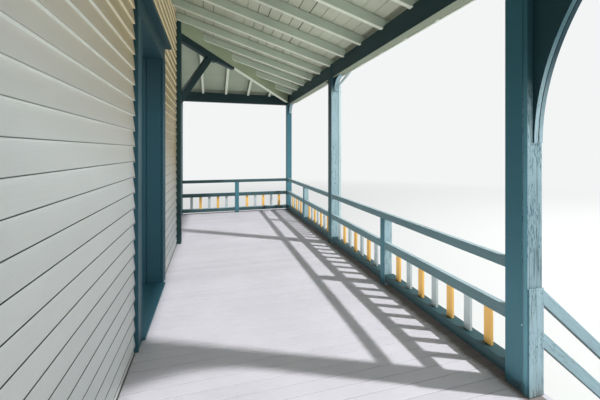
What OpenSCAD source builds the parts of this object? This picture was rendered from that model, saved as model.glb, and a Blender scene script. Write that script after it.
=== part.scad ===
// Front porch of a timber house: three bays between posts, a hipped shed roof that wraps past both
// house corners, painted railings, a wide stair in the left bay and a doorway in the middle bay.
// X runs along the front, -Y is out from the house, +Z up from the ground. "Out" is the distance
// from the face of the siding, measured towards the front.

/* [Bays] */
// Door bay, centre to centre of its two posts
door_bay = 3230; // [2800:10:4000]
// Side bay, centre of the door-bay post to centre of the corner post
side_bay = 3080; // [2700:10:3800]
// Width of the house between its corners
house_w = 4600; // [4300:10:5000]
// Rafter spaces in a bay
rafter_spaces = 6; // [4:1:8]
// Rafter spaces at an end, between the corner post and the post at the house
end_rafter_spaces = 5; // [3:1:7]

/* [Floor] */
// Height of the floor above the ground
floor_h = 760; // [600:10:1000]
// Thickness of the floor boards
floor_t = 25; // [20:1:40]
// How far the floor reaches past the rim boards
floor_nose = 20; // [10:1:40]
// Depth of the rim boards
rim_h = 190; // [150:5:240]
// Thickness of the rim boards
rim_t = 38; // [25:1:60]
// Depth of the joists
joist_h = 140; // [100:5:180]
// Thickness of the joists
joist_t = 45; // [35:1:70]
// Joists in front of the wall, the one against the wall included
joist_rows = 6; // [4:1:9]
// Gap between two joists that meet over a girder
joist_gap = 4; // [2:1:10]
// Depth of the girders
girder_h = 190; // [150:5:240]
// Thickness of the girders
girder_t = 100; // [75:5:150]
// Side of the square piers
pier_w = 300; // [220:10:400]

/* [Posts and beams] */
// Outer face of the posts, out from the siding
porch_out = 2517; // [2300:1:2800]
// Width of a post along the front
post_w = 150; // [120:1:200]
// Depth of a post from front to back
post_d = 120; // [100:1:150]
// Underside of the beams above the floor
beam_under = 2690; // [2550:5:2900]
// Depth of the beams
beam_h = 222; // [180:1:280]
// Thickness of the beams
beam_t = 112; // [80:1:118]
// Set-back of the end beams from the inner face of the corner posts
end_beam_set = 5; // [2:1:20]

/* [Brackets] */
// Thickness of the sawn brackets under the beams
bracket_t = 72; // [50:1:95]
// Set-back of those brackets from the posts' outer faces
bracket_set = 5; // [0:1:20]
// Radius of the tall arched brackets in the stair bay
arch_r = 1530; // [1400:5:1700]
// Height above the floor where the arches spring from the posts
arch_spring = 1552; // [1450:2:1800]
// Thickness of an arched bracket at its foot
arch_toe = 9; // [4:1:30]
// Radius of the small quarter-round brackets
small_bracket_r = 210; // [120:5:300]
// Thickness of a small bracket at its toes
small_bracket_toe = 14; // [8:1:40]

/* [House wall] */
// Thickness of the house wall
wall_t = 250; // [180:5:350]
// Height of the wall's top above the roofing where they meet
wall_above_roof = 160; // [100:10:400]
// Width of the corner boards on the front
corner_board_w = 140; // [100:5:180]
// Thickness of the corner boards
corner_board_t = 60; // [30:1:75]

/* [Doorway] */
// Middle of the doorway, to the right of the porch's middle
door_x = 110; // [-300:10:300]
// Clear width of the doorway
door_w = 1080; // [800:10:1200]
// Clear height of the doorway
door_h = 2540; // [2300:10:2560]
// Thickness of the door linings
lining_t = 25; // [18:1:40]
// Width of the upright casings
casing_w = 150; // [90:5:180]
// Thickness of the casings
casing_t = 20; // [15:1:30]
// Height of the head casing
frieze_h = 180; // [120:5:220]
// Height of the cap over the head casing
cap_h = 100; // [60:5:110]
// How far the cap stands out from the siding
cap_out = 80; // [50:5:110]
// How far the cap passes the casings at each end
cap_end = 80; // [30:5:120]
// Height of the threshold
threshold_h = 25; // [15:1:40]
// How far the threshold reaches out from the siding
threshold_out = 40; // [25:1:70]

/* [Railings] */
// Top of the top rail above the floor
rail_top = 809; // [760:1:880]
// Depth of the top rail
top_rail_h = 71; // [50:1:90]
// Underside of the middle rail above the floor
mid_rail_under = 403; // [350:1:450]
// Depth of the middle rail
mid_rail_h = 85; // [60:1:110]
// Underside of the bottom rail above the floor
low_rail_under = 43; // [30:1:80]
// Depth of the bottom rail
low_rail_h = 77; // [50:1:100]
// Thickness of the top and middle rails
rail_t = 45; // [35:1:60]
// Set-back of the rails from the inner face of the posts
rail_set = 8; // [3:1:20]
// Side of the small square post in the middle of a railing
rail_post_w = 95; // [70:1:110]
// Width of a baluster
baluster_w = 60; // [40:1:80]
// Thickness of a baluster
baluster_t = 25; // [18:1:35]
// How far a baluster reaches up behind the middle rail
baluster_lap = 52; // [30:1:58]
// Balusters in half a bay
bay_balusters = 7; // [4:1:9]
// Balusters in half a railing at an end of the porch
end_balusters = 5; // [3:1:7]

/* [Stair] */
// Steps down to the ground, the last one onto the ground
risers = 4; // [3:1:5]
// Depth of a step, riser face to riser face
going = 228; // [215:1:235]
// Thickness of the treads
tread_t = 30; // [20:1:45]
// How far a tread reaches past its riser
tread_nose = 20; // [10:1:35]
// Thickness of the riser boards
riser_t = 20; // [15:1:30]
// Thickness of the stringers
stringer_t = 45; // [30:1:70]
// Number of stringers
stringers = 4; // [3:1:6]
// Depth of a stringer below its inner corners, measured plumb
stringer_h = 170; // [120:5:220]
// Side of the newels at the foot of the stair
newel_w = 90; // [70:1:110]
// Height of those newels above the ground
newel_h = 860; // [700:10:1000]
// Middle of those newels, out from the posts' outer faces
newel_out = 760; // [700:5:860]
// Thickness of the boards on the posts beside the stair
post_board_t = 12; // [8:1:25]
// Height of those boards above the floor
post_board_h = 660; // [600:10:720]
// Height of the upper handrail above the floor at the post
handrail_top = 655; // [600:5:700]
// Height of the lower handrail above the floor at the post
handrail_low = 388; // [300:5:420]
// Depth of a handrail, measured square to its run
handrail_d = 75; // [50:1:90]
// Thickness of a handrail
handrail_t = 40; // [30:1:60]

/* [Roof] */
// Underside of the rafters at the wall, above the floor
rafter_at_wall = 3590; // [3500:10:3700]
// How far the rafters' undersides pass down the inner faces of the beams
rafter_seat = 30; // [10:1:45]
// Depth of the rafters, measured plumb
rafter_h = 115; // [90:1:140]
// Thickness of the rafters
rafter_t = 55; // [40:1:75]
// Depth of the hip rafters, measured plumb
hip_h = 250; // [180:5:280]
// Thickness of the hip rafters
hip_t = 90; // [60:1:110]
// Thickness of the roof boards, measured plumb
sheathing_t = 26; // [18:1:35]
// Thickness of the roofing, measured plumb
roofing_t = 20; // [12:1:30]
// How far the rafters pass the posts' outer faces
eave_out = 195; // [120:5:260]
// Thickness of the fascia boards
fascia_t = 20; // [15:1:30]
// Depth of the fascia boards
fascia_h = 128; // [100:1:150]
// How far the roofing passes the fascia
drip = 15; // [8:1:25]

/* [Brackets under the hips] */
// Length of the arm in plan
arm_l = 1310; // [1100:5:1500]
// Depth of the arm, measured plumb
arm_h = 124; // [105:1:160]
// Thickness of the arm
arm_t = 90; // [60:1:100]
// Length of the thinner nose of the arm in plan
nose_l = 475; // [350:5:520]
// Depth of the nose where it starts
nose_h = 95; // [70:1:100]
// Depth of the nose at its tip
nose_tip = 45; // [25:1:60]
// Distance in plan from the house corner to where the brace meets the arm
brace_l = 673; // [550:1:750]
// Height above the floor of the middle of the brace's foot
brace_foot = 2410; // [2300:5:2550]
// Width of the brace
brace_w = 110; // [80:1:130]
// Thickness of the brace
brace_t = 80; // [50:1:90]

/* [Gutter] */
// Width of the gutter
gutter_w = 100; // [80:1:130]
// Depth of the gutter
gutter_h = 65; // [50:1:70]
// Thickness of the gutter's metal
gutter_t = 3; // [2:1:5]
// Side of the square downspout
spout_w = 46; // [40:1:60]
// Gap between the floor's edge and the downspout
spout_gap = 8; // [4:1:20]
// Height of the downspout's upper bend above the floor
spout_bend = 2595; // [2500:5:2650]
// Height of the downspout's open end above the ground
spout_end = 80; // [40:5:150]

/* [Hidden] */
$fn = 128;

siding_cream = "#d9dcc9";
trim_teal = "#3f6a70";
floor_grey = "#a9a7ac";
rail_teal = "#5d8388";
rafter_cream = "#c3cabb";
baluster_yellow = "#d9a44f";
baluster_pale = "#d5dfe2";
timber = "#8b7a66";
stone = "#8d8780";
shingle_grey = "#6d6c69";
gutter_white = "#dfe2e0";

// Places along the front, for the right half; the left half mirrors it
inner_x = door_bay / 2;
corner_x = door_bay / 2 + side_bay;
house_x = house_w / 2;
board_x = house_x + corner_board_t;
corner_in_x = corner_x - post_w / 2;
corner_out_x = corner_x + post_w / 2;
end_beam_in = corner_in_x + end_beam_set;
end_beam_out = end_beam_in + beam_t;
rim_x = corner_out_x;
floor_x = rim_x + floor_nose;
end_rail_in = corner_in_x + rail_set;

// Places out from the siding
back_out = -wall_t;
post_in = porch_out - post_d;
beam_in = porch_out - beam_t;
rim_in = porch_out - rim_t;
floor_out = porch_out + floor_nose;
end_post_out = back_out + post_d;
rail_in = post_in + rail_set;
eave = porch_out + eave_out;
newel_mid = porch_out + newel_out;
front_reach = newel_mid + newel_w / 2;

// The wall's face stands where the part's box is centred front to back
wall_y = (front_reach - wall_t) / 2;

// Heights above the ground
floor_under = floor_h - floor_t;
joist_under = floor_under - joist_h;
girder_under = joist_under - girder_h;
beam_z = floor_h + beam_under;
beam_top = beam_z + beam_h;
head_z = floor_h + door_h;
rafter_wall_z = floor_h + rafter_at_wall;
rafter_beam_z = beam_top - rafter_seat;
roof_rise = rafter_wall_z - rafter_beam_z;
arch_z = floor_h + arch_spring;
sheathing_lift = rafter_h;
roofing_lift = rafter_h + sheathing_t;
wall_top = rafter_wall_z + roofing_lift + roofing_t + wall_above_roof;

// Rafter undersides: the front slope by distance out, the end slopes by distance along
function front_under(out) = rafter_wall_z - roof_rise * out / beam_in;
function end_under(x) = rafter_wall_z - roof_rise * (x - house_x) / (end_beam_in - house_x);
// The hip runs from the house corner to where the inner faces of the beams meet
function hip_x(out) = house_x + (end_beam_in - house_x) * out / beam_in;
hip_angle = atan2(-beam_in, end_beam_in - house_x);
hip_run = norm([end_beam_in - house_x, beam_in]);
hip_pitch = roof_rise / hip_run;
end_eave = hip_x(eave);
hip_reach = norm([end_eave - house_x, eave]);
function hip_under(run) = rafter_wall_z + rafter_h - hip_h - hip_pitch * run;

// The stair
riser_h = floor_h / risers;
stair_x0 = -corner_in_x;
stair_x1 = -inner_x - post_w / 2;
stair_pitch = riser_h / going;

// Eaves
fascia_out = eave + fascia_t;
fascia_x = end_eave + fascia_t;
fascia_top = min(front_under(fascia_out), end_under(fascia_x)) + roofing_lift;
gutter_top = fascia_top - gutter_t;
gutter_z = gutter_top - gutter_h;
spout_out = floor_out + spout_gap;
spout_mid = spout_out + spout_w / 2;
far = corner_x * 2;

// A box by its ends along the front, its distances out from the siding and its heights
module block(x0, x1, out0, out1, z0, z1)
    translate([x0, wall_y - out1, z0]) cube([x1 - x0, out1 - out0, z1 - z0]);

// The same shape at both ends of the porch
module both_ends() {
    children();
    mirror([1, 0, 0]) children();
}

// An outline drawn as distance out and height, given a width along the front
module along_front(x0, width)
    translate([x0 + width, wall_y, 0]) rotate([90, 0, -90]) linear_extrude(width) children();

// An outline drawn as place along the front and height, given a run out from the siding
module outwards(out0, run)
    translate([0, wall_y - out0, 0]) rotate([90, 0, 0]) linear_extrude(run) children();

// A plan drawn as place along the front and distance out, standing the full height
module upright_plan()
    translate([0, wall_y, 0]) mirror([0, 1, 0]) linear_extrude(wall_top * 2) children();

// Puts a shape in the upright plane of the right-hand hip, its run starting at the house corner
module in_hip_plane()
    translate([house_x, wall_y, 0]) rotate([0, 0, hip_angle]) children();

// An outline drawn as run from the house corner and height, centred on the hip
module along_hip(width)
    in_hip_plane() translate([0, width / 2, 0]) rotate([90, 0, 0]) linear_extrude(width) children();

// Everything on the far side of one face of the hip rafter: side 1 is the end slope's, -1 the front's
module past_hip_face(side, offset)
    in_hip_plane() translate([-far, side > 0 ? offset : -far - offset, 0]) cube([far * 2, far, wall_top * 2]);

// The house wall
module wall_piece(x0, x1, z0) {
    color(siding_cream) block(x0, x1, back_out, 0, z0, wall_top);
}
door_left = door_x - door_w / 2 - lining_t;
door_right = door_x + door_w / 2 + lining_t;
module wall_left() wall_piece(-house_x, door_left, floor_under);
module wall_right() wall_piece(door_right, house_x, floor_under);
module wall_over_door() wall_piece(door_left, door_right, head_z + lining_t);
module foundation_wall() color(stone) block(-house_x, house_x, back_out, 0, 0, floor_under);

module corner_boards() color(trim_teal) both_ends()
    block(board_x - corner_board_w, board_x, 0, corner_board_t, floor_h, wall_top);
module corner_returns() color(trim_teal) both_ends()
    block(house_x, board_x, back_out, 0, floor_h, wall_top);

// The corner boards' own plan, standing the full height
module corner_board_space() {
    block(board_x - corner_board_w, board_x, 0, corner_board_t, 0, wall_top * 2);
    block(house_x, board_x, back_out * 2, corner_board_t / 2, 0, wall_top * 2);
}

// The doorway
module door_lining_sides() color(trim_teal) {
    block(door_left, door_left + lining_t, back_out, 0, floor_under, head_z);
    block(door_right - lining_t, door_right, back_out, 0, floor_under, head_z);
}
module door_lining_head() color(trim_teal)
    block(door_left, door_right, back_out, 0, head_z, head_z + lining_t);
casing_left = door_left + lining_t - casing_w;
casing_right = door_right - lining_t + casing_w;
module door_casing_sides() color(trim_teal) {
    block(casing_left, casing_left + casing_w, 0, casing_t, floor_h, head_z);
    block(casing_right - casing_w, casing_right, 0, casing_t, floor_h, head_z);
}
module door_casing_head() color(trim_teal)
    block(casing_left, casing_right, 0, casing_t, head_z, head_z + frieze_h);
module door_casing_cap() color(trim_teal)
    block(casing_left - cap_end, casing_right + cap_end, 0, cap_out,
          head_z + frieze_h, head_z + frieze_h + cap_h);
module door_threshold() color(trim_teal) {
    block(door_left + lining_t, door_right - lining_t, back_out, 0, floor_under, floor_h);
    block(door_left + lining_t, door_right - lining_t, back_out, threshold_out,
          floor_h, floor_h + threshold_h);
}

// The floor and what carries it
module floor_middle() color(floor_grey)
    block(-house_x, house_x, 0, floor_out, floor_under, floor_h);
module floor_ends() color(floor_grey) both_ends()
    block(house_x, floor_x, back_out, floor_out, floor_under, floor_h);
module rim_front() color(rail_teal)
    block(-rim_x, rim_x, rim_in, porch_out, floor_under - rim_h, floor_under);
module rim_ends() color(rail_teal) both_ends()
    block(rim_x - rim_t, rim_x, back_out, rim_in, floor_under - rim_h, floor_under);
module joists() color(timber) {
    pitch = rim_in / joist_rows;
    for (row = [0 : joist_rows - 1]) {
        block(-inner_x + joist_gap / 2, inner_x - joist_gap / 2,
              row * pitch, row * pitch + joist_t, joist_under, floor_under);
        both_ends() block(inner_x + joist_gap / 2, rim_x - rim_t,
                          row * pitch, row * pitch + joist_t, joist_under, floor_under);
    }
    both_ends() block(house_x, rim_x - rim_t, back_out, back_out + joist_t, joist_under, floor_under);
}
module girders() color(timber) both_ends() {
    block(inner_x - girder_t / 2, inner_x + girder_t / 2, 0, rim_in, girder_under, joist_under);
    block(rim_x - rim_t - girder_t, rim_x - rim_t, back_out, rim_in, girder_under, joist_under);
}
module piers() color(stone) both_ends() {
    block(inner_x - pier_w / 2, inner_x + pier_w / 2, 0, pier_w, 0, girder_under);
    block(inner_x - pier_w / 2, inner_x + pier_w / 2, porch_out - pier_w, porch_out, 0, girder_under);
    block(rim_x - pier_w, rim_x, back_out, back_out + pier_w, 0, girder_under);
    block(rim_x - pier_w, rim_x, porch_out - pier_w, porch_out, 0, girder_under);
}

// A post stands on the floor and passes the ends of the beams
module post(x, out0) color(trim_teal)
    block(x - post_w / 2, x + post_w / 2, out0, out0 + post_d, floor_h, beam_top);
module corner_post_left() post(-corner_x, post_in);
module stair_post() post(-inner_x, post_in);
module middle_post() post(inner_x, post_in);
module corner_post_right() post(corner_x, post_in);
module end_post_left() post(-corner_x, back_out);
module end_post_right() post(corner_x, back_out);

module front_beams() color(trim_teal) {
    block(-inner_x + post_w / 2, inner_x - post_w / 2, beam_in, porch_out, beam_z, beam_top);
    both_ends() block(inner_x + post_w / 2, corner_in_x, beam_in, porch_out, beam_z, beam_top);
}
module end_beams() color(trim_teal) both_ends()
    block(end_beam_in, end_beam_out, end_post_out, post_in, beam_z, beam_top);

// Sawn brackets: what a circle leaves of the corner between a post and a beam. The outline is
// drawn with the post's face upright at zero and the beam's underside level at zero.
module bracket_outline(radius, drop, toe) {
    reach = toe + radius - sqrt(pow(radius, 2) - pow(drop - toe, 2));
    difference() {
        translate([0, -drop]) square([reach, drop]);
        translate([toe + radius, -drop]) circle(radius, $fn = 180);
    }
}
module small_bracket_outline() difference() {
    translate([0, -small_bracket_r]) square(small_bracket_r);
    translate([small_bracket_r, -small_bracket_r]) circle(small_bracket_r - small_bracket_toe);
}
module bracket_at(x, side) outwards(porch_out - bracket_set - bracket_t, bracket_t)
    translate([x + side * post_w / 2, beam_z]) scale([side, 1]) children();
module arch_brackets() color(trim_teal) {
    arch_drop = beam_z - arch_z;
    bracket_at(-inner_x, -1) bracket_outline(arch_r, arch_drop, arch_toe);
    bracket_at(-corner_x, 1) bracket_outline(arch_r, arch_drop, arch_toe);
}
module small_brackets() color(trim_teal) {
    bracket_at(-inner_x, 1) small_bracket_outline();
    bracket_at(inner_x, -1) small_bracket_outline();
    bracket_at(inner_x, 1) small_bracket_outline();
    bracket_at(corner_x, -1) small_bracket_outline();
}

// Railings. A bay's railing runs from post to post, with a small post in the middle of it.
module bay_rails(x0, x1) color(rail_teal) {
    mid = (x0 + x1) / 2;
    block(x0, x1, rail_in, rail_in + rail_t, floor_h + rail_top - top_rail_h, floor_h + rail_top);
    for (half = [[x0, mid - rail_post_w / 2], [mid + rail_post_w / 2, x1]]) {
        block(half[0], half[1], rail_in, rail_in + rail_t,
              floor_h + mid_rail_under, floor_h + mid_rail_under + mid_rail_h);
        block(half[0], half[1], rail_in, porch_out,
              floor_h + low_rail_under, floor_h + low_rail_under + low_rail_h);
    }
}
module rails_door_bay() bay_rails(-inner_x + post_w / 2, inner_x - post_w / 2);
module rails_right_bay() bay_rails(inner_x + post_w / 2, corner_in_x);
end_mid = (post_in + end_post_out) / 2;
low_rail_w = porch_out - rail_in;
module rails_ends() color(rail_teal) both_ends() {
    block(end_rail_in, end_rail_in + rail_t, end_post_out, post_in,
          floor_h + rail_top - top_rail_h, floor_h + rail_top);
    for (half = [[end_post_out, end_mid - rail_post_w / 2], [end_mid + rail_post_w / 2, post_in]]) {
        block(end_rail_in, end_rail_in + rail_t, half[0], half[1],
              floor_h + mid_rail_under, floor_h + mid_rail_under + mid_rail_h);
        block(end_rail_in, end_rail_in + low_rail_w, half[0], half[1],
              floor_h + low_rail_under, floor_h + low_rail_under + low_rail_h);
    }
}
right_mid = (inner_x + post_w / 2 + corner_in_x) / 2;
module rail_posts() color(rail_teal) {
    rail_post_top = floor_h + rail_top - top_rail_h;
    for (mid = [0, right_mid])
        block(mid - rail_post_w / 2, mid + rail_post_w / 2, rail_in, rail_in + rail_post_w,
              floor_h, rail_post_top);
    both_ends() block(end_rail_in, end_rail_in + rail_post_w,
                      end_mid - rail_post_w / 2, end_mid + rail_post_w / 2, floor_h, rail_post_top);
}

// Middles of the balusters between two faces, every second one starting at the given parity
function baluster_mids(from, to, count, parity) =
    [for (i = [1 : count]) if ((i + parity) % 2 == 0) from + (to - from) * i / (count + 1)];
baluster_z0 = floor_h + low_rail_under + low_rail_h;
baluster_z1 = floor_h + mid_rail_under + baluster_lap;
module bay_balusters_between(x0, x1, parity) {
    mid = (x0 + x1) / 2;
    near = baluster_mids(x0, mid - rail_post_w / 2, bay_balusters, parity);
    beyond = baluster_mids(mid + rail_post_w / 2, x1, bay_balusters, parity + bay_balusters);
    for (x = concat(near, beyond))
        block(x - baluster_w / 2, x + baluster_w / 2, rail_in + rail_t, rail_in + rail_t + baluster_t,
              baluster_z0, baluster_z1);
}
module end_balusters_of(parity) {
    near = baluster_mids(post_in, end_mid + rail_post_w / 2, end_balusters, parity);
    beyond = baluster_mids(end_mid - rail_post_w / 2, end_post_out, end_balusters, parity + end_balusters);
    both_ends() for (out = concat(near, beyond))
        block(end_rail_in + rail_t, end_rail_in + rail_t + baluster_t,
              out - baluster_w / 2, out + baluster_w / 2, baluster_z0, baluster_z1);
}
module balusters_of(parity) {
    bay_balusters_between(-inner_x + post_w / 2, inner_x - post_w / 2, parity);
    bay_balusters_between(inner_x + post_w / 2, corner_in_x, parity);
    end_balusters_of(parity);
}
module balusters_yellow() color(baluster_yellow) balusters_of(1);
module balusters_white() color(baluster_pale) balusters_of(0);

// The stair fills the left bay. Treads and risers run between the posts.
module stair_treads() color(floor_grey) for (step = [1 : risers - 1])
    block(stair_x0, stair_x1, porch_out + (step - 1) * going, porch_out + step * going + tread_nose,
          floor_h - step * riser_h - tread_t, floor_h - step * riser_h);
module stair_risers() color(rail_teal) for (step = [1 : risers - 1])
    block(stair_x0, stair_x1, porch_out + step * going - riser_t, porch_out + step * going,
          max(0, floor_h - (step + 1) * riser_h), floor_h - step * riser_h - tread_t);
module stringer_outline() {
    stringer_top = floor_h - riser_h - tread_t;
    stringer_low = stringer_top - stringer_h;
    polygon([
        [0, stringer_top],
        for (step = [1 : risers - 1]) each [
            [step * going - riser_t, floor_h - step * riser_h - tread_t],
            [step * going - riser_t, max(0, floor_h - (step + 1) * riser_h - tread_t)]
        ],
        [stringer_low / stair_pitch, 0],
        [0, stringer_low]
    ]);
}
module stair_stringers() color(timber) for (i = [0 : stringers - 1])
    along_front(stair_x0 + i * (stair_x1 - stair_x0 - stringer_t) / (stringers - 1), stringer_t)
        translate([porch_out, 0]) stringer_outline();
module stair_newels() color(trim_teal) {
    block(stair_x1, stair_x1 + newel_w, newel_mid - newel_w / 2, newel_mid + newel_w / 2, 0, newel_h);
    block(stair_x0 - newel_w, stair_x0, newel_mid - newel_w / 2, newel_mid + newel_w / 2, 0, newel_h);
    block(stair_x1 - post_board_t, stair_x1, post_in, porch_out, floor_h, floor_h + post_board_h);
    block(stair_x0, stair_x0 + post_board_t, post_in, porch_out, floor_h, floor_h + post_board_h);
}
module handrail_outline(top) {
    plumb = handrail_d * norm([going, riser_h]) / going;
    run = newel_mid - newel_w / 2 - porch_out;
    polygon([
        [porch_out, floor_h + top],
        [porch_out + run, floor_h + top - stair_pitch * run],
        [porch_out + run, floor_h + top - stair_pitch * run - plumb],
        [porch_out, floor_h + top - plumb]
    ]);
}
module stair_handrails() color(rail_teal)
    for (x = [stair_x1, stair_x0 - handrail_t], top = [handrail_top, handrail_low])
        along_front(x, handrail_t) handrail_outline(top);

// Rafters, notched over the beam. The notch starts at the given inner face of the beam or post.
module front_rafter_outline(notch) polygon([
    [0, front_under(0) + rafter_h],
    [eave, front_under(eave) + rafter_h],
    [eave, front_under(eave)],
    [porch_out, front_under(porch_out)],
    [porch_out, beam_top],
    [notch, beam_top],
    [notch, front_under(notch)],
    [0, front_under(0)]
]);
module end_rafter_outline(notch, notch_end) polygon([
    [board_x, end_under(board_x) + rafter_h],
    [end_eave, end_under(end_eave) + rafter_h],
    [end_eave, end_under(end_eave)],
    [notch_end, end_under(notch_end)],
    [notch_end, beam_top],
    [notch, beam_top],
    [notch, end_under(notch)],
    [board_x, end_under(board_x)]
]);
module front_rafter(x, notch) along_front(x - rafter_t / 2, rafter_t) front_rafter_outline(notch);
module rafters_front() color(rafter_cream) {
    door_pitch = door_bay / rafter_spaces;
    side_pitch = side_bay / rafter_spaces;
    for (i = [1 : rafter_spaces - 1])
        front_rafter(-inner_x + i * door_pitch, beam_in);
    both_ends() {
        front_rafter(inner_x, post_in);
        difference() {
            for (i = [1 : rafter_spaces - 1])
                front_rafter(inner_x + i * side_pitch, beam_in);
            past_hip_face(1, -hip_t / 2);
            corner_board_space();
        }
    }
}
// The last end rafter lies over the post at the house
end_rafter_first = post_in + post_d / 2;
end_rafter_last = end_post_out - post_d / 2;
module rafters_ends() color(rafter_cream) both_ends() {
    pitch = (end_rafter_first - end_rafter_last) / end_rafter_spaces;
    difference() {
        for (i = [1 : end_rafter_spaces - 1])
            outwards(end_rafter_first - i * pitch - rafter_t / 2, rafter_t)
                end_rafter_outline(end_beam_in, end_beam_out);
        past_hip_face(-1, -hip_t / 2);
    }
    outwards(end_rafter_last - rafter_t / 2, rafter_t) end_rafter_outline(corner_in_x, corner_out_x);
}

// Everything under both slopes out to the eaves, up to a lift above the rafters' undersides
module under_roof(lift) intersection() {
    along_front(0, far) polygon([
        [back_out, 0], [eave, 0], [eave, front_under(eave) + lift], [back_out, front_under(back_out) + lift]
    ]);
    outwards(back_out, eave - back_out) polygon([
        [0, 0], [end_eave, 0], [end_eave, end_under(end_eave) + lift], [0, end_under(0) + lift]
    ]);
}
// The hips are deeper than the rafters up to the corner posts, and as deep as them past the posts
module hip_rafters() color(rafter_cream) both_ends() difference() {
    intersection() {
        along_hip(hip_t) polygon([
            [0, hip_under(0)], [0, hip_under(0) + hip_h],
            [hip_reach, hip_under(hip_reach) + hip_h], [hip_reach, hip_under(hip_reach)]
        ]);
        under_roof(rafter_h);
    }
    corner_board_space();
    block(corner_in_x, corner_out_x, post_in, porch_out, 0, beam_top);
    block(0, corner_out_x, beam_in, porch_out, 0, beam_top);
    block(end_beam_in, end_beam_out, back_out, porch_out, 0, beam_top);
    intersection() {
        union() {
            block(corner_in_x, far, back_out, far, 0, wall_top);
            block(0, far, post_in, far, 0, wall_top);
        }
        under_roof(0);
    }
}

// Roof boards and roofing: a slope is a thin slab, cut in plan along the hips
module front_slope(lift, thick, edge) difference() {
    intersection() {
        along_front(-far, far * 2) polygon([
            [0, front_under(0) + lift], [0, front_under(0) + lift + thick],
            [edge, front_under(edge) + lift + thick], [edge, front_under(edge) + lift]
        ]);
        upright_plan() polygon([
            [-hip_x(0), 0], [-hip_x(edge), edge], [hip_x(edge), edge], [hip_x(0), 0]
        ]);
    }
    both_ends() corner_board_space();
}
module end_slope(lift, thick, edge) both_ends() difference() {
    intersection() {
        outwards(back_out, edge - back_out) polygon([
            [house_x, end_under(house_x) + lift], [house_x, end_under(house_x) + lift + thick],
            [hip_x(edge), end_under(hip_x(edge)) + lift + thick], [hip_x(edge), end_under(hip_x(edge)) + lift]
        ]);
        upright_plan() polygon([
            [hip_x(0), 0], [hip_x(edge), edge], [hip_x(edge), back_out], [hip_x(0), back_out]
        ]);
    }
    corner_board_space();
}
module roof_boards_front() color(rafter_cream) front_slope(sheathing_lift, sheathing_t, eave);
module roof_boards_ends() color(rafter_cream) end_slope(sheathing_lift, sheathing_t, eave);
module roofing_front() color(shingle_grey) front_slope(roofing_lift, roofing_t, fascia_out + drip);
module roofing_ends() color(shingle_grey) end_slope(roofing_lift, roofing_t, fascia_out + drip);

module fascia_front() color(trim_teal)
    block(-fascia_x, fascia_x, eave, fascia_out, fascia_top - fascia_h, fascia_top);
module fascia_ends() color(trim_teal) both_ends()
    block(end_eave, fascia_x, back_out, eave, fascia_top - fascia_h, fascia_top);

// Brackets that hold the hips at the house corners: an arm under the hip and a straight brace
module arm_outline() polygon([
    [0, hip_under(0)],
    [arm_l, hip_under(arm_l)],
    [arm_l, hip_under(arm_l) - nose_tip],
    [arm_l - nose_l, hip_under(arm_l - nose_l) - nose_h],
    [arm_l - nose_l, hip_under(arm_l - nose_l) - arm_h],
    [0, hip_under(0) - arm_h]
]);
module hip_bracket_arms() color(trim_teal) both_ends() difference() {
    along_hip(arm_t) arm_outline();
    corner_board_space();
}
module hip_bracket_braces() color(trim_teal) both_ends() difference() {
    along_hip(brace_t) intersection() {
        corner_run = norm([corner_board_t, corner_board_t]);
        foot = [corner_run, floor_h + brace_foot];
        head = [brace_l, hip_under(brace_l) - arm_h];
        translate(foot) rotate(atan2(head[1] - foot[1], head[0] - foot[0]))
            translate([-brace_w * 2, -brace_w / 2]) square([norm(head - foot) + brace_w * 4, brace_w]);
        polygon([[0, 0], [arm_l, 0], [arm_l, hip_under(arm_l) - arm_h], [0, hip_under(0) - arm_h]]);
    }
    corner_board_space();
}

// Gutter: an open channel, mitred at the corners, with a closed end at the house
module gutter_outline() difference() {
    square([gutter_w, gutter_h]);
    translate([gutter_t, gutter_t]) square([gutter_w - gutter_t * 2, gutter_h]);
}
gutter_out = fascia_out + gutter_w;
gutter_x = fascia_x + gutter_w;
module gutter_front() color(gutter_white) intersection() {
    along_front(-far, far * 2) translate([fascia_out, gutter_z]) gutter_outline();
    upright_plan() polygon([
        [-fascia_x, fascia_out], [fascia_x, fascia_out], [gutter_x, gutter_out], [-gutter_x, gutter_out]
    ]);
}
module gutter_ends() color(gutter_white) both_ends() {
    intersection() {
        outwards(back_out, far) translate([fascia_x, gutter_z]) gutter_outline();
        upright_plan() polygon([
            [fascia_x, back_out], [fascia_x, fascia_out], [gutter_x, gutter_out], [gutter_x, back_out]
        ]);
    }
    block(fascia_x, gutter_x, back_out, back_out + gutter_t, gutter_z, gutter_top);
}

// Downspout: an upright length and an offset up to the gutter
module downspout() color(gutter_white)
    block(inner_x - spout_w / 2, inner_x + spout_w / 2, spout_out, spout_out + spout_w,
          spout_end, floor_h + spout_bend);
module downspout_offset() color(gutter_white)
    along_front(inner_x - spout_w / 2, spout_w) polygon([
        [spout_out, floor_h + spout_bend], [spout_out + spout_w, floor_h + spout_bend],
        [(fascia_out + gutter_out + spout_w) / 2, gutter_z], [(fascia_out + gutter_out - spout_w) / 2, gutter_z]
    ]);

wall_left();
wall_right();
wall_over_door();
foundation_wall();
corner_boards();
corner_returns();
door_lining_sides();
door_lining_head();
door_casing_sides();
door_casing_head();
door_casing_cap();
door_threshold();
floor_middle();
floor_ends();
rim_front();
rim_ends();
joists();
girders();
piers();
corner_post_left();
stair_post();
middle_post();
corner_post_right();
end_post_left();
end_post_right();
front_beams();
end_beams();
arch_brackets();
small_brackets();
hip_bracket_arms();
hip_bracket_braces();
rails_door_bay();
rails_right_bay();
rails_ends();
rail_posts();
balusters_yellow();
balusters_white();
stair_stringers();
stair_treads();
stair_risers();
stair_newels();
stair_handrails();
rafters_front();
rafters_ends();
hip_rafters();
roof_boards_front();
roof_boards_ends();
roofing_front();
roofing_ends();
fascia_front();
fascia_ends();
gutter_front();
gutter_ends();
downspout();
downspout_offset();
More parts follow.
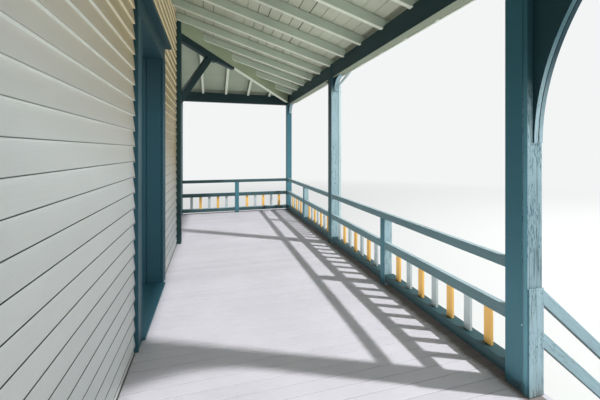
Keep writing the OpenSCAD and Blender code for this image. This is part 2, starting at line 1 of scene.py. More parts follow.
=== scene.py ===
import math
import random
from functools import partial

import bmesh
import bpy
from mathutils import Matrix, Vector


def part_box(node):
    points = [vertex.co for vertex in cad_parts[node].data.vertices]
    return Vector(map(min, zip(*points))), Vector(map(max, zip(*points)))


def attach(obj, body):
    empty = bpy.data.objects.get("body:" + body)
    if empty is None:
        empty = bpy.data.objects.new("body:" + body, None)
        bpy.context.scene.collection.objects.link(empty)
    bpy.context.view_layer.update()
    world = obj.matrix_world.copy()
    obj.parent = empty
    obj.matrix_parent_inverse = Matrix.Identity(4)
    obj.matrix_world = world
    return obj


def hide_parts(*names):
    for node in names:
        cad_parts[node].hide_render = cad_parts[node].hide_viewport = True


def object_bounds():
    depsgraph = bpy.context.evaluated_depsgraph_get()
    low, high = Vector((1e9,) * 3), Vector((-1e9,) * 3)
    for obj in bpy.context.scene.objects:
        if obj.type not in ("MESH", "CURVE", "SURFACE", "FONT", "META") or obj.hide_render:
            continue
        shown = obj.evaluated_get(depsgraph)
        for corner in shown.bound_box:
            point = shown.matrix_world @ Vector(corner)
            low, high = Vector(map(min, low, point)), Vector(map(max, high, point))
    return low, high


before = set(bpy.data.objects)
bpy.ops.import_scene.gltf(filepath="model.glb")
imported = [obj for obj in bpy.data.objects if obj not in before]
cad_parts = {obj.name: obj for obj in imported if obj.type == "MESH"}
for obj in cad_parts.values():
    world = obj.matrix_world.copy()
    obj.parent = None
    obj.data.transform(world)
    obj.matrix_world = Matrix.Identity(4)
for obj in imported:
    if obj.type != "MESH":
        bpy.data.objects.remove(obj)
cadLow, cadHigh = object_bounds()
chance = random.Random(11)

# Lines of the building that everything is set out from, in metres, all read from the frame
wallLow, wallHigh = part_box("wall_left")
wallY, wallTop = wallLow.y, wallHigh.z  # wallY is the face of the siding; out from the house is -Y
backOut = wallY - wallHigh.y
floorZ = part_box("floor_middle")[1].z
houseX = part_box("foundation_wall")[1].x
roofLow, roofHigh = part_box("roof_boards_front")
eaveX, eaveOut = roofHigh.x, wallY - roofLow.y
boardsTop = roofHigh.z  # top of the roof boards where they meet the wall
boardsThick = 0.026
slopeFront = (boardsTop - boardsThick - roofLow.z) / eaveOut
slopeEnd = slopeFront * eaveOut / (eaveX - houseX)


def hipX(out):
    return houseX + (eaveX - houseX) * out / eaveOut


def hipOut(x):
    return (abs(x) - houseX) * eaveOut / (eaveX - houseX)


def frontSlope(x, out, lift):
    # a point of the front roof, lifted plumb from the top of the roof boards
    return Vector((x, wallY - out, boardsTop - slopeFront * out + lift))


def endSlope(x, out, lift):
    return Vector((x, wallY - out, boardsTop - slopeEnd * (abs(x) - houseX) + lift))


# Colours and nodes
def colour(code):
    # an sRGB hex value as linear light
    parts = [int(code[i:i + 2], 16) / 255 for i in (1, 3, 5)]
    return tuple(p / 12.92 if p <= 0.04045 else ((p + 0.055) / 1.055) ** 2.4 for p in parts) + (1.0,)


def addNode(tree, kind, inputs=(), **settings):
    # inputs fill the sockets in use in their order, or by name, and a node stands for its first output.
    # Math adds unless it is told otherwise, and Mix mixes colours.
    node = tree.nodes.new("ShaderNode" + kind)
    if kind == "Mix":
        node.data_type = "RGBA"
    for name, value in settings.items():
        setattr(node, name, value)
    if isinstance(inputs, dict):
        pairs = [(node.inputs[name], value) for name, value in inputs.items()]
    else:
        pairs = zip([socket for socket in node.inputs if socket.enabled], inputs)
    for socket, value in pairs:
        if isinstance(value, bpy.types.Node):
            value = next(output for output in value.outputs if output.enabled)
        if isinstance(value, bpy.types.NodeSocket):
            tree.links.new(value, socket)
        else:
            socket.default_value = colour(value) if isinstance(value, str) else value
    return node


def startMaterial(name):
    material = bpy.data.materials.new(name)
    material.use_nodes = True
    material.node_tree.nodes.clear()
    add = partial(addNode, material.node_tree)
    return material, add, add("TexCoord").outputs["Object"]


def endMaterial(add, height, depth, surface):
    # a Principled surface, with its bump's depth in metres
    bump = add("Bump", {"Strength": 1.0, "Distance": depth, "Height": height})
    add("OutputMaterial", [add("BsdfPrincipled", {**surface, "Normal": bump})])


noiseSpan = (0.3, 0.7)  # where most of a noise lies
patchSpan = (0.45, 0.75)  # its upper half, which leaves patches
grainDraw = {"brush": 0.05, "chip": 0.22, "crack": 0.03}  # how far a pattern is drawn out along the grain
# Sizes in millimetres of the wide patterns, which every finish shares
patternMm = {"fade": 625, "crowd": 454.5, "blotch": 333.3, "dust": 166.7, "patch": 142.86, "ragged": 111.11,
             "splash": 26.316}

# What paint looks like unless a finish says otherwise. Widths of its patterns are in millimetres, and
# brush lines and checks are drawn coarser than the real ones, which wouldn't show from a few metres.
paintLook = {
    "brushMm": 5, "streak": 0.05, "fade": 0.06, "chalk": 0.25, "tone": 0.03, "rough": 0.5, "gloss": 0.25,
    "chipMm": 14, "chipFrom": 0.80, "bump": 0.0006,
    "cracks": 0.0, "crackMm": 16, "crackWide": 0.022, "crackColour": "#2c474e",
    "turn": 0,  # slope of the board in degrees
    "foot": "", "footHeight": 0.14, "footMost": 0.5,  # splashed dirt
    "upper": "", "upperFrom": 1.72, "upperTo": 1.98,  # painted shade higher up, its edges in metres above the floor
    "yellowed": "", "yellowFrom": 1.0, "yellowTo": 2.04, "yellowTilt": 0.28,
    # the siding's undersides are painted pale, as light from the floor would leave them
    "sheltered": "", "shelteredAged": "", "shelterFrom": 1.8, "shelterTo": 2.4, "shelterMost": 0.85, "grime": "",
    "stain": "", "stainFrom": 0.0, "stainTo": 0.0, "stainEnd": 99.0, "stainMost": 0.8,  # metres out from the wall
}
# The teal where sun and rain reach it: chalked pale and checked along the grain
wornLook = {"fade": 0.08, "streak": 0.09, "chipFrom": 0.70, "cracks": 0.75, "rough": 0.6}


def housePaint(name, grain, paint, faded, under, **other):
    # brushed exterior paint on softwood: the eye sees long brush lines, soft fading, chips along them,
    # and where the sun has been at it, thin checks in the wood that break through
    look = {**paintLook, **other}
    material, add, place = startMaterial(name)
    if look["turn"]:
        place = add("Mapping", {"Vector": place, "Rotation": (math.radians(look["turn"]), 0, 0)}).outputs[0]
    x, y, z = add("SeparateXYZ", [place]).outputs
    drawn = {pattern: [share if axis == grain else 1 for axis in "xyz"] for pattern, share in grainDraw.items()}
    chipPlace = add("Mapping", {"Vector": place, "Scale": drawn["chip"]})

    # brush lines, fading, and a tone of its own for each board
    fade = add("TexNoise", [place, 1000 / patternMm["fade"], 4.0])
    brushPlace = add("Mapping", {"Vector": place, "Scale": drawn["brush"]})
    brush = add("TexNoise", [brushPlace, 1000 / look["brushMm"], 2.0])
    tone = add("Attribute", attribute_name="tone").outputs["Fac"]
    value = 1.0
    for pattern, span, most in ((fade, noiseSpan, "fade"), (brush, noiseSpan, "streak"), (tone, (0, 1), "tone")):
        value = add("Math", [add("MapRange", [pattern, *span, -look[most], look[most]]), value])
    base = add("HueSaturation", {"Color": paint, "Value": value})
    chalk = add("MapRange", [fade, *patchSpan, 0.0, look["chalk"]])
    base = add("Mix", [chalk, base, faded])

    # chips, more of them in some places
    crowd = add("TexNoise", [place, 1000 / patternMm["crowd"], 2.0])
    crowd = add("MapRange", [crowd, 0.35, 0.65, -0.12, 0.12])
    flakes = add("Math", [add("TexNoise", [chipPlace, 1000 / look["chipMm"], 5.0, 0.6]), crowd])
    chips = add("MapRange", [flakes, look["chipFrom"], look["chipFrom"] + 0.02])
    base = add("Mix", [chips, base, under])
    height = add("Math", [add("MapRange", [brush, 0.0, 1.0, 0.0, 0.35]), chips], operation="SUBTRACT")

    held = 1.0
    if look["upper"]:
        # painted shade: higher up, where brackets and eaves shade the paint, it turns to the darker upper colour
        rise = add("Math", [z, add("MapRange", [fade, *noiseSpan, -0.04, 0.04])])
        held = add("MapRange", [rise, floorZ + look["upperFrom"], floorZ + look["upperTo"], 1.0, 0.0])
        base = add("Mix", [held, look["upper"], base])
    if look["cracks"]:
        # a check follows the middle line of a noise, and comes and goes in patches
        crackPlace = add("Mapping", {"Vector": place, "Scale": drawn["crack"]})
        lines = add("TexNoise", [crackPlace, 1000 / look["crackMm"], 3.0, 0.6])
        away = add("Math", [add("Math", [lines, 0.5], operation="SUBTRACT")], operation="ABSOLUTE")
        patch = add("TexNoise", [chipPlace, 1000 / patternMm["patch"], 2.0])
        patch = add("Math", [add("MapRange", [patch, 0.42, 0.62, 0.25, 1.0]), held], operation="MULTIPLY")
        near = add("MapRange", [away, 0.004, look["crackWide"], look["cracks"], 0.0])
        crack = add("Math", [near, patch], operation="MULTIPLY")
        base = add("Mix", [crack, base, look["crackColour"]])
        height = add("Math", [height, crack], operation="SUBTRACT")
    if look["foot"]:
        splash = add("TexNoise", [chipPlace, 1000 / patternMm["splash"], 5.0, 0.7])
        low = add("MapRange", [z, floorZ, floorZ + look["footHeight"], 0.28, -0.12])
        dirt = add("MapRange", [add("Math", [low, splash]), 0.66, 0.76, 0.0, look["footMost"]])
        base = add("Mix", [dirt, base, look["foot"]])
    if look["yellowed"]:
        # painted shade, warm and tan, higher up under the roof and more towards the right
        tilt = add("Math", [x, look["yellowTilt"]], operation="MULTIPLY")
        rise = add("Math", [z, tilt])
        aged = add("MapRange", [rise, floorZ + look["yellowFrom"], floorZ + look["yellowTo"]])
        aged = add("Math", [aged, add("MapRange", [fade, *noiseSpan, 0.85, 1.0])], operation="MULTIPLY")
        base = add("Mix", [aged, base, look["yellowed"]])
        # the vertex layer is above nought in the grooves, for dirt and painted shade, and below nought on the
        # undersides, painted pale as light from the floor would leave them
        older = add("MapRange", [rise, floorZ + look["shelterFrom"], floorZ + look["shelterTo"]])
        pale = add("Mix", [older, look["sheltered"], look["shelteredAged"]])
        grime = add("Attribute", attribute_name="grime").outputs["Fac"]
        clean = add("Math", [grime, -look["shelterMost"]], operation="MULTIPLY")
        base = add("Mix", [clean, base, pale])
        base = add("Mix", [grime, base, look["grime"]])
    if look["stain"]:
        # a brown band along one line of the building, with a ragged edge
        ragged = add("TexNoise", [place, 1000 / patternMm["ragged"], 5.0, 0.7])
        ragged = add("MapRange", [ragged, *noiseSpan, -0.5, 0.5])
        band = add("MapRange", [y, wallY - look["stainFrom"], wallY - look["stainTo"], -0.5, 1.5])
        band = add("MapRange", [add("Math", [band, ragged]), 0.0, 1.0, 0.0, look["stainMost"]])
        inside = add("MapRange", [y, wallY - look["stainEnd"], wallY - look["stainEnd"] + 0.01])
        stain = add("Math", [band, inside], operation="MULTIPLY")
        base = add("Mix", [stain, base, look["stain"]])
    rough = add("MapRange", [brush, 0.2, 0.8, look["rough"] - 0.08, look["rough"] + 0.08])
    endMaterial(add, height, look["bump"],
                {"Base Color": base, "Roughness": rough, "Specular IOR Level": look["gloss"]})
    return material


def wornPaint(name, grain, paint="#97b3bb", faded="#abc2c8", under="#5f7f87", **other):
    return housePaint(name, grain, paint, faded, under, **{**wornLook, **other})


# Teal of the posts, with painted shade higher up, where the roof and brackets shade them
postFoot, stairFoot = "#4a4a47", "#6b6862"
tealPost = housePaint(
    "tealPaintUpright", "z", "#3f707d", "#4b7f8b", "#a3b6b5", chipFrom=0.78, foot=postFoot, upper="#2b5a66",
    upperFrom=0.5, upperTo=2.3)
tealFace = housePaint(
    "tealPaintFaceBoard", "z", "#5e92a0", "#6c9fac", "#a3b6b5", chipFrom=0.76, foot=postFoot, upper="#2b5863",
    upperFrom=1.3, upperTo=2.15)
tealEnd = housePaint(
    "tealPaintCornerPost", "z", "#477885", "#538692", "#a3b6b5", chipFrom=0.78, foot=postFoot, upper="#356370",
    upperFrom=0.9, upperTo=2.6)
# a darker copy of the post teal: painted shade on the middle post
tealShade = housePaint(
    "tealPaintMiddlePost", "z", "#2f565c", "#3b656c", "#8fa3a2", foot=postFoot, upper="#16333a", upperFrom=0.7,
    upperTo=2.0)
tealLong = housePaint("tealPaintAlong", "x", "#213b40", "#2a464c", "#637a7e", chipFrom=0.84)
tealOut = housePaint("tealPaintOutward", "y", "#1f3537", "#273e41", "#5f7274", chipFrom=0.84)
# a darker copy of the teal: painted shade of the roof over the brackets
archTeal = housePaint("tealPaintArch", "z", "#17363d", "#1e4047", "#56696b", chipFrom=0.84)
cornerTeal = housePaint("tealPaintCorner", "z", "#28484a", "#325456", "#4b5a5a", chipFrom=0.86)
# the doorway's upper colour is painted shade under the porch roof
doorTeal = housePaint(
    "tealPaintDoorway", "z", "#2f5a67", "#386573", "#6f898d", chipFrom=0.88, upper="#213f45", upperFrom=1.7,
    upperTo=2.6)

# Teal that the weather has been at
# an upper colour here is painted shade near the top of a post or bracket, under the eave; the outer ply's darker
# one is painted shade as well
wornUp = wornPaint("wornTealUpright", "z")
wornPost = wornPaint("wornTealUnderEave", "z", upper="#2f5660", upperFrom=2.42, upperTo=2.56)
wornStair = wornPaint(
    "wornTealByStair", "z", "#8fabb3", "#a3bbc1", "#527680", upper="#26484f", foot=stairFoot, cracks=0.95,
    crackMm=26, crackWide=0.042, chipMm=8, chipFrom=0.6)
wornFoot = wornPaint(
    "wornTealFootBoards", "z", "#9ab6be", under="#54767f", foot=stairFoot, cracks=0.9, crackMm=15,
    crackWide=0.04, chipMm=7, chipFrom=0.585)
plyLook = {"cracks": 0.95, "crackMm": 22, "crackWide": 0.045}
wornPly = wornPaint("wornTealPlyEdge", "z", **plyLook, upper="#4b6d74", upperFrom=1.75, upperTo=2.2)
wornPlyOuter = wornPaint("wornTealOuterPlyEdge", "z", **plyLook, upper="#203f47", upperFrom=1.6, upperTo=2.1)
wornLong = wornPaint("wornTealAlong", "x", "#adc3c9", "#c0d1d6")
wornOut = wornPaint("wornTealOutward", "y")
wornSlope = wornPaint("wornTealSloping", "y", turn=-39.8, cracks=0.5)

# Rails and balusters
railLong = housePaint("railPaintAlong", "x", "#5c797e", "#6e8c91", "#a9b6b4", chipFrom=0.78)
railLow = housePaint("railPaintLowAlong", "x", "#2d4d52", "#3a5c62", "#7f9190", chipFrom=0.78)
# a darker copy of the rail paint: painted shade on the rails and rims at the ends
railOut = housePaint("railPaintOutward", "y", "#3f585c", "#4e686c", "#93a2a0", chipFrom=0.78)
railSlope = housePaint("railPaintSloping", "y", "#4a6366", "#5a7578", "#93a2a0", chipFrom=0.78, turn=-39.8)
yellowPaint = housePaint("ochrePaint", "z", "#f3bf69", "#f5cd8e", "#cdb991")
palePaint = housePaint("paleBluePaint", "z", "#b8c4c5", "#ccd4d4", "#98a2a0")

# Siding, the roof from below, floor and bare timber
# its tan colour higher up is painted shade under the roof
sidingPaint = housePaint(
    "creamSidingPaint", "x", "#dbdfdd", "#e0e2df", "#c6c1af", brushMm=7, fade=0.03, streak=0.018, tone=0.02,
    chipFrom=0.9, rough=0.45, yellowed="#a8966d", grime="#3d4845", sheltered="#e2e9e0",
    shelteredAged="#f0e3bd")
eaveLook = {"fade": 0.05, "streak": 0.04, "tone": 0.05, "chipFrom": 0.84, "rough": 0.6}
rafterPaint = housePaint("rafterPaintOutward", "y", "#bdcaba", "#cfd5c5", "#93a08e", **eaveLook)
# a paler copy of the rafter paint: painted light from the floor on the undersides
rafterUnderPaint = housePaint("rafterPaintUnder", "y", "#d5dbc9", "#dfe3d3", "#a5b09c", **eaveLook)
# a darker copy of the rafter paint: painted shade on the end rafters' sides
rafterPaintAlong = housePaint("rafterPaintAlong", "x", "#8b9a88", "#9dab99", "#76836f", **eaveLook)
hipPaint = housePaint("rafterPaintHip", "y", "#a3ae92", "#b3bca2", "#8a947c", **{**eaveLook, "tone": 0.04})
# pale olive under the beams: painted light from the floor
beamUnderPaint = housePaint(
    "palePaintUnderBeam", "x", "#7f8774", "#8c9380", "#646b5b", tone=0.04, chipFrom=0.82, rough=0.6)
roofBoardPaint = housePaint(
    "roofBoardPaintAlong", "x", "#b7bba8", "#c6c9b8", "#929482", **{**eaveLook, "chipFrom": 0.85},
    stain="#8b7355", stainFrom=2.392, stainTo=2.422, stainEnd=2.47, stainMost=0.15)  # a brown band along the boards by the beam
roofBoardPaintOut = housePaint(
    "roofBoardPaintOutward", "y", "#a3ad99", "#b0b8a4", "#8f947f",
    **{**eaveLook, "streak": 0.03, "tone": 0.02, "chipFrom": 0.87})
floorLook = {"fade": 0.04, "streak": 0.035, "tone": 0.04, "rough": 0.55}
floorPaint = housePaint(
    "greyFloorPaint", "y", "#d4d1d9", "#dedbe3", "#9b938b", **floorLook, stain="#6b5c50", stainFrom=2.31,
    stainTo=2.40, stainEnd=2.50)
treadPaint = housePaint("greyTreadPaint", "x", "#d4d1d8", "#dedbe2", "#9b938b", **floorLook, chipFrom=0.78)
sawnLook = {"brushMm": 3, "fade": 0.08, "streak": 0.12, "tone": 0.1, "rough": 0.8}
sawnTimber = housePaint("sawnTimberAlong", "x", "#8a7862", "#9c8a73", "#6f604e", **sawnLook)
sawnTimberOut = housePaint("sawnTimberOutward", "y", "#8a7862", "#9c8a73", "#6f604e", **sawnLook)


def bakedMetal(name, paint, dull, most):
    # baked enamel on folded sheet: smooth and even, a little dulled by dust
    material, add, place = startMaterial(name)
    place = add("Mapping", {"Vector": place, "Scale": (1, 1, 0.3)})
    dust = add("TexNoise", [place, 1000 / patternMm["dust"], 5.0])
    base = add("Mix", [add("MapRange", [dust, *patchSpan, 0.0, most]), paint, dull])
    rough = add("MapRange", [dust, *noiseSpan, 0.28, 0.5])
    endMaterial(add, dust, 0.0002, {"Base Color": base, "Roughness": rough})
    return material


gutterPaint = bakedMetal("whiteGutterEnamel", "#bccfd1", "#a5b2b2", 0.5)
flashingMetal = bakedMetal("greyFlashing", "#8d9190", "#6f706c", 0.6)


def claySlab(name, light, dark, grain, stain, gritMm, speckle, depth):
    # fired clay or cement with a gritty face: speckled, dull, each block a shade of its own. The grit is
    # drawn a few times coarser than the real millimetre or so, so that it shows.
    material, add, place = startMaterial(name)
    tone = add("Attribute", attribute_name="tone").outputs["Fac"]
    grit = add("TexNoise", [place, 1000 / gritMm, 4.0, 0.7])
    blotch = add("TexNoise", [place, 1000 / patternMm["blotch"], 3.0])
    base = add("Mix", [tone, light, dark])
    base = add("Mix", [add("MapRange", [grit, 0.35, 0.7, 0.0, speckle]), base, grain])
    base = add("Mix", [add("MapRange", [blotch, 0.5, 0.8, 0.0, 0.35]), base, stain])
    endMaterial(add, grit, depth, {"Base Color": base, "Roughness": 0.9})
    return material


brickClay = claySlab("weatheredBrick", "#a9705a", "#8a5545", "#6d4a3e", "#6b625a", 4, 0.5, 0.0012)
mortar = claySlab("limeMortar", "#b3aca0", "#a8a195", "#8e887d", "#8a857a", 3, 0.5, 0.001)
shingleFelt = claySlab("greyShingle", "#77767a", "#56565b", "#3f4043", "#66645e", 3, 0.7, 0.001)
plaster = claySlab("wallPlaster", "#d8d5cc", "#d8d5cc", "#cbc7bd", "#cdc9bf", 5, 0.2, 0.0004)
print("materials made")


# Shapes
def startShape():
    # each vertex has its board's tone, and the siding's have a layer of grime, painted shade and painted light
    # too
    bm = bmesh.new()
    for layer in ("tone", "grime"):
        bm.verts.layers.float.new(layer)
    return bm


def setTone(bm, verts):
    layer = bm.verts.layers.float["tone"]
    value = chance.random()
    for v in verts:
        v[layer] = value


def addBlock(bm, place):
    # a cube whose eight corners, each 0 or 1 along its three edges, are put in place
    made = bmesh.ops.create_cube(bm, size=1.0, matrix=Matrix.Translation((0.5, 0.5, 0.5)))["verts"]
    for v in made:
        v.co = place(*[round(part) for part in v.co])
    setTone(bm, made)


def addBox(bm, low, high):
    addBlock(bm, lambda *corner: [(a, b)[end] for a, b, end in zip(low, high, corner)])


# How far an edge is rounded, in metres, from folded sheet to the nosing of a step
hair, fine, crisp, eased, rounded, soft, nosed = 0.0006, 0.001, 0.002, 0.003, 0.004, 0.005, 0.008


def softenEdges(bm, width, segments=1, sharpest=25):
    sharp = [e for e in bm.edges if e.is_manifold and e.calc_face_angle(0) > math.radians(sharpest)]
    bmesh.ops.bevel(bm, geom=sharp, offset=width, offset_type="OFFSET", segments=segments, profile=0.5,
                    affect="EDGES", clamp_overlap=True, material=-1)


def boardRuns(start, end, lengths):
    # chance lengths of board from start to end, the last one not too short
    while start < end - 0.001:
        reach = min(end, start + chance.uniform(lengths["shortest"], lengths["longest"]))
        if end - reach < lengths["shortest"] / 2:
            reach = end
        yield start, reach
        start = reach


def addProfile(bm, corners, run):
    # a board whose end has the given corners, drawn out along run
    first = [bm.verts.new(corner) for corner in corners]
    end = bm.faces.new(first)
    grown = bmesh.ops.extrude_face_region(bm, geom=[end])["geom"]
    moved = [part for part in grown if isinstance(part, bmesh.types.BMVert)]
    bmesh.ops.translate(bm, verts=moved, vec=run)
    setTone(bm, first + moved)
    return first + moved


def addObject(name, data):
    made = bpy.data.objects.new(name, data)
    bpy.context.scene.collection.objects.link(made)
    return made


sharpOver = 40  # degrees past which an edge is shaded sharp


def finishPiece(name, bm, material, stands=(), second=None):
    # second is a finish for some of the faces and the test that picks them
    bmesh.ops.recalc_face_normals(bm, faces=bm.faces[:])
    if second:
        for face in bm.faces:
            face.normal_update()
            face.material_index = int(second[1](face.normal))
    mesh = bpy.data.meshes.new(name)
    bm.to_mesh(mesh)
    bm.free()
    mesh.materials.append(material)
    if second:
        mesh.materials.append(second[0])
    mesh.shade_smooth()
    mesh.set_sharp_from_angle(angle=math.radians(sharpOver))
    piece = addObject(name, mesh)
    even = piece.modifiers.new("evenShading", "WEIGHTED_NORMAL")
    even.keep_sharp = True
    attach(piece, "root")
    if stands:
        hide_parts(*stands)


def islands(bm):
    # the separate solids of a shape, each as its vertices, in order of their lowest corners
    left = set(bm.verts)
    found = []
    while left:
        start = left.pop()
        group, queue = [start], [start]
        while queue:
            for e in queue.pop().link_edges:
                for v in e.verts:
                    if v in left:
                        left.remove(v)
                        group.append(v)
                        queue.append(v)
        found.append(group)
    return sorted(found, key=lambda g: tuple(round(min(v.co[i] for v in g), 4) for i in range(3)))


def nodeShape(name):
    # a node's solids as one clean shape, each solid with a tone of its own
    bm = startShape()
    bm.from_mesh(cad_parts[name].data)
    bmesh.ops.remove_doubles(bm, verts=bm.verts[:], dist=0.00002)
    bmesh.ops.dissolve_limit(bm, angle_limit=math.radians(1), verts=bm.verts[:], edges=bm.edges[:])
    for group in islands(bm):
        setTone(bm, group)
    return bm


def solidBoxes(name):
    bm = nodeShape(name)
    boxes = [[Vector([pick(v.co[i] for v in group) for i in range(3)]) for pick in (min, max)]
             for group in islands(bm)]
    bm.free()
    return boxes


def softened(pieceName, node, edge, material, segments=1, second=None):
    # a node's own shape with its edges rounded
    bm = nodeShape(node)
    softenEdges(bm, edge, segments)
    finishPiece(pieceName, bm, material, (node,), second)


facing = 0.6  # a face looks a certain way when its normal points there by more than this


def weathered(normal):
    # faces that sun and rain reach: the tops, the fronts and the sides towards the stair
    return normal.x < -facing or rainedOn(normal)


def rainedOn(normal):
    return normal.y < -facing or normal.z > facing


def curvedUnder(normal):
    # a bracket's front, its curve and its foot
    return normal.y < -facing or (abs(normal.y) < 1 - facing and normal.z < 0.5)


def undersides(normal):
    return normal.z < -facing


# Lap siding over the wall
siding = {
    "course": 0.114,  # what shows of each board
    "firstButt": 0.0515,  # height above the floor of the lowest full course
    "thickAtTop": 0.004,
    "back": 0.022,  # behind the butt's face
    "clear": 0.0003,  # between a board and the one under it
    "lapClear": 0.002,
    "lap": 0.020,
    "lip": 0.005,  # rounded lip along the butt, over a groove that holds dirt and painted shade
    "lipEase": 0.0005,
    "lipIn": 0.0008,
    "groove": 0.0045,
    "grooveFlat": 0.001,
    "grooveTop": 0.0105,
    "round": 0.0015,
    "shortest": 2.2,
    "longest": 4.8,
    "joint": 0.0008,
    "trimGap": 0.001,
    "trimDeep": 0.019,  # how far the trim at the boards' ends reaches behind their faces
    "grooveGrime": 0.95,
    "cheekGrime": 0.8,
    "buttPale": -1.0,  # the underside of a board, painted pale as if lit from the floor
    "lipPale": -0.35,
}
wallNodes = ("wall_left", "wall_right", "wall_over_door")
doorLeft, doorRight = [corner.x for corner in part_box("door_casing_sides")]
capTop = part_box("door_casing_cap")[1].z
cornerFace = {"inner": 0.14, "wide": 0.08, "proud": 0.01}  # the strip of corner board by the boards' ends
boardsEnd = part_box("corner_boards")[1].x - cornerFace["inner"]


def makeSiding():
    bm = startShape()
    bottom = floorZ + siding["firstButt"] - siding["course"]
    while bottom < wallTop:
        full = bottom + siding["course"] > capTop
        spans = [(-boardsEnd, boardsEnd)] if full else [(-boardsEnd, doorLeft), (doorRight, boardsEnd)]
        for start, end in spans:
            for x, reach in boardRuns(start, end, siding):
                gap = siding["trimGap"] if reach == end else siding["joint"]
                addSidingBoard(bm, x + gap, reach - gap, bottom)
        bottom += siding["course"]
    finishPiece("siding_boards", bm, sidingPaint, wallNodes)

    core = startShape()
    for name in wallNodes:
        low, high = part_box(name)
        addBox(core, (low.x, wallY + siding["back"], low.z), high)
    softenEdges(core, fine)
    finishPiece("wall_core", core, plaster, wallNodes)


def addSidingBoard(bm, x0, x1, bottom):
    # the outline of a board's end, as depth into the wall and height above its lower edge
    tall = siding["course"] + siding["lap"]
    lean = (siding["back"] - siding["thickAtTop"]) / tall
    behind = lean * siding["course"] + siding["clear"]
    lip, groove, back, flat = siding["lip"], siding["groove"], siding["back"], siding["grooveFlat"]
    outline = [(behind, 0), (siding["round"], 0), (0, siding["round"]), (0, lip - siding["lipEase"]),
               (siding["lipIn"], lip), (groove, lip), (groove, lip + flat),
               (lean * siding["grooveTop"], siding["grooveTop"]), (lean * tall, tall), (back, tall),
               (back, siding["lap"] + siding["lapClear"]), (behind, siding["lap"])]
    low, high = floorZ - bottom, wallTop - bottom
    if low > 0:
        outline = [(lean * low, low), (lean * tall, tall), (back, tall), (back, low)]
    if high < tall:
        outline = [(depth, min(h, high)) for depth, h in outline]
    corners = [(x0, wallY + depth, bottom + h) for depth, h in outline]
    made = addProfile(bm, corners, (x1 - x0, 0, 0))
    # the layer darkens the groove for dirt and painted shade, and lightens the undersides with painted light
    dirt = bm.verts.layers.float["grime"]
    near = siding["clear"]
    for v in made:
        rise, depth = v.co.z - bottom, v.co.y - wallY
        if lip - near < rise < lip + 2 * flat and depth < back - flat:
            v[dirt] = siding["grooveGrime"] if depth > groove - flat else siding["cheekGrime"]
        elif rise < near:
            v[dirt] = siding["buttPale"]
        elif rise < lip:
            v[dirt] = siding["lipPale"]


makeSiding()
print("siding made")


# Floor boards, square to the wall
floorBoards = {"width": 0.1, "gap": 0.003, "edge": 0.0022, "uneven": 0.002}


def makeFloor(name, node):
    gap, uneven = floorBoards["gap"], floorBoards["uneven"]
    bm = startShape()
    for low, high in solidBoxes(node):
        count = round((high.x - low.x) / floorBoards["width"])
        pitch = (high.x - low.x) / count
        for i in range(count):
            left = low.x + i * pitch + gap / 2
            front = low.y + uneven - chance.uniform(0, uneven)
            addBox(bm, (left, front, low.z), (left + pitch - gap, high.y, high.z))
    softenEdges(bm, floorBoards["edge"])
    finishPiece(name, bm, floorPaint, (node,))


makeFloor("floor_boards_middle", "floor_middle")
makeFloor("floor_boards_ends", "floor_ends")
softened("floor_rim_front", "rim_front", eased, railLong)
softened("floor_rim_ends", "rim_ends", eased, railOut)
softened("floor_joists", "joists", crisp, sawnTimber)
softened("floor_girders", "girders", eased, sawnTimberOut)
print("floor made")


# Brick piers and foundation
bricks = {"length": 0.203, "width": 0.092, "height": 0.0575, "mortar": 0.010, "edge": 0.003, "recess": 0.006}


def brickRows(low, high):
    # number, lower and upper edge of each course
    rows = round((high.z - low.z) / (bricks["height"] + bricks["mortar"]))
    rise = (high.z - low.z) / rows
    for row in range(rows):
        yield row, low.z + row * rise, low.z + (row + 1) * rise - bricks["mortar"]


def addMortar(bm, low, high):
    inset = Vector((bricks["recess"], bricks["recess"], 0))
    addBox(bm, low + inset, high - inset)


def finishMasonry(name, node, brickwork, core):
    softenEdges(brickwork, bricks["edge"])
    finishPiece(name + "_bricks", brickwork, brickClay, (node,))
    finishPiece(name + "_mortar", core, mortar, (node,))


def makePiers():
    brickwork, core = startShape(), startShape()
    for low, high in solidBoxes("piers"):
        side = high.x - low.x
        long = side - bricks["width"] - bricks["mortar"]
        for row, z0, z1 in brickRows(low, high):
            for corner in range(4):
                # four bricks chase each other round the pier, turned over in every second course
                a0, a1, b0, b1 = 0, long, 0, bricks["width"]
                if row % 2:
                    a0, a1 = side - long, side
                for _ in range(corner):
                    a0, a1, b0, b1 = side - b1, side - b0, a0, a1
                addBox(brickwork, (low.x + a0, low.y + b0, z0), (low.x + a1, low.y + b1, z1))
        addMortar(core, low, high)
    finishMasonry("pier", "piers", brickwork, core)


def makeFoundation():
    low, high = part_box("foundation_wall")
    brickwork, core = startShape(), startShape()
    pitch = bricks["length"] + bricks["mortar"]
    for row, z0, z1 in brickRows(low, high):
        start = low.x - (pitch / 2 if row % 2 else 0)
        while start < high.x - bricks["mortar"]:
            x0, x1 = max(start, low.x), min(start + bricks["length"], high.x)
            if x1 - x0 > bricks["width"] / 3:
                addBox(brickwork, (x0, low.y, z0), (x1, low.y + bricks["width"], z1))
                addBox(brickwork, (x0, high.y - bricks["width"], z0), (x1, high.y, z1))
            start += pitch
    addMortar(core, low, high)
    finishMasonry("foundation", "foundation_wall", brickwork, core)


makePiers()
makeFoundation()
print("masonry made")


# Posts, with a board on the face of the two beside the stair
posts = {"edge": 0.003, "faceBoard": 0.030, "faceBack": 0.001, "seam": 0.002, "softOver": 60}
nail = {"radius": 0.005, "taper": 0.8, "head": 0.003, "above": 0.424, "in": 0.034, "proud": 0.0005}


